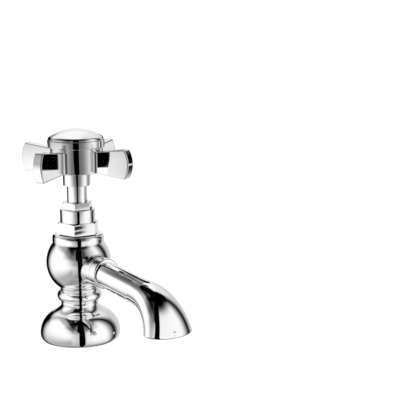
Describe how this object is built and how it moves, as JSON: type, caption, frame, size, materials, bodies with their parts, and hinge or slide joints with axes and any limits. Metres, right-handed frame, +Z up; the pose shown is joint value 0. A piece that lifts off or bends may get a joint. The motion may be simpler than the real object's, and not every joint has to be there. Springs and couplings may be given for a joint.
{
  "type": "basin pillar tap",
  "caption": "Deck-mounted basin pillar tap with a bell base, ball body, down-curved flared spout and a rising cross handle under a domed cap.",
  "frame": {"origin": "centre of the bell's foot on the deck face, on the axis of the threaded tail", "axes": "+Z up along the tail and spindle axis, the spout points along -Y, +X to the right seen from the spout's side"},
  "size_m": [0.0736, 0.1375, 0.1785],
  "materials": {
    "chrome_body": "polished chrome plate",
    "chrome_headwork": "polished chrome plate",
    "chrome_handle": "polished chrome plate",
    "raw_brass": "turned brass",
    "seal_rubber": "black rubber",
    "washer_plastic": "white nylon",
    "fibre_gasket": "graphite fibre",
    "screw_steel": "stainless steel"
  },
  "bodies": {
    "body": {"bell_base": "chrome_body", "base_seal": "seal_rubber", "inlet_tail": "raw_brass", "backing_washer": "washer_plastic", "back_nut": "raw_brass", "ball_body": "chrome_body", "rear_plug": "chrome_body", "valve_seat": "raw_brass", "spout": "chrome_body", "spout_o_ring": "seal_rubber", "bonnet": "chrome_headwork", "bonnet_gasket": "fibre_gasket", "gland_packing": "fibre_gasket", "gland_ring": "raw_brass", "gland_nut": "chrome_headwork"},
    "valve": {"jumper": "raw_brass", "tap_washer": "seal_rubber", "washer_nut": "raw_brass"},
    "handle": {"spindle": "chrome_headwork", "handle_collar": "chrome_handle", "cross_handle": "chrome_handle", "cap_skirt": "chrome_handle", "dome_cap": "chrome_handle", "spring_washer": "screw_steel", "handle_screw": "screw_steel"}
  },
  "joints": [
    {"name": "valve_rise", "type": "slide", "parent": "body", "child": "valve", "axis": [0, 0, 1], "range_m": [0, 0.004]},
    {"name": "handle_turn", "type": "hinge", "parent": "valve", "child": "handle", "pos_m": [0, 0, 0.1], "axis": [0, 0, 1], "range_deg": [0, 720]}
  ],
  "couplings": [
    {"joint": "handle_turn", "follows": "valve_rise", "rad_per_m": 3141.6}
  ]
}
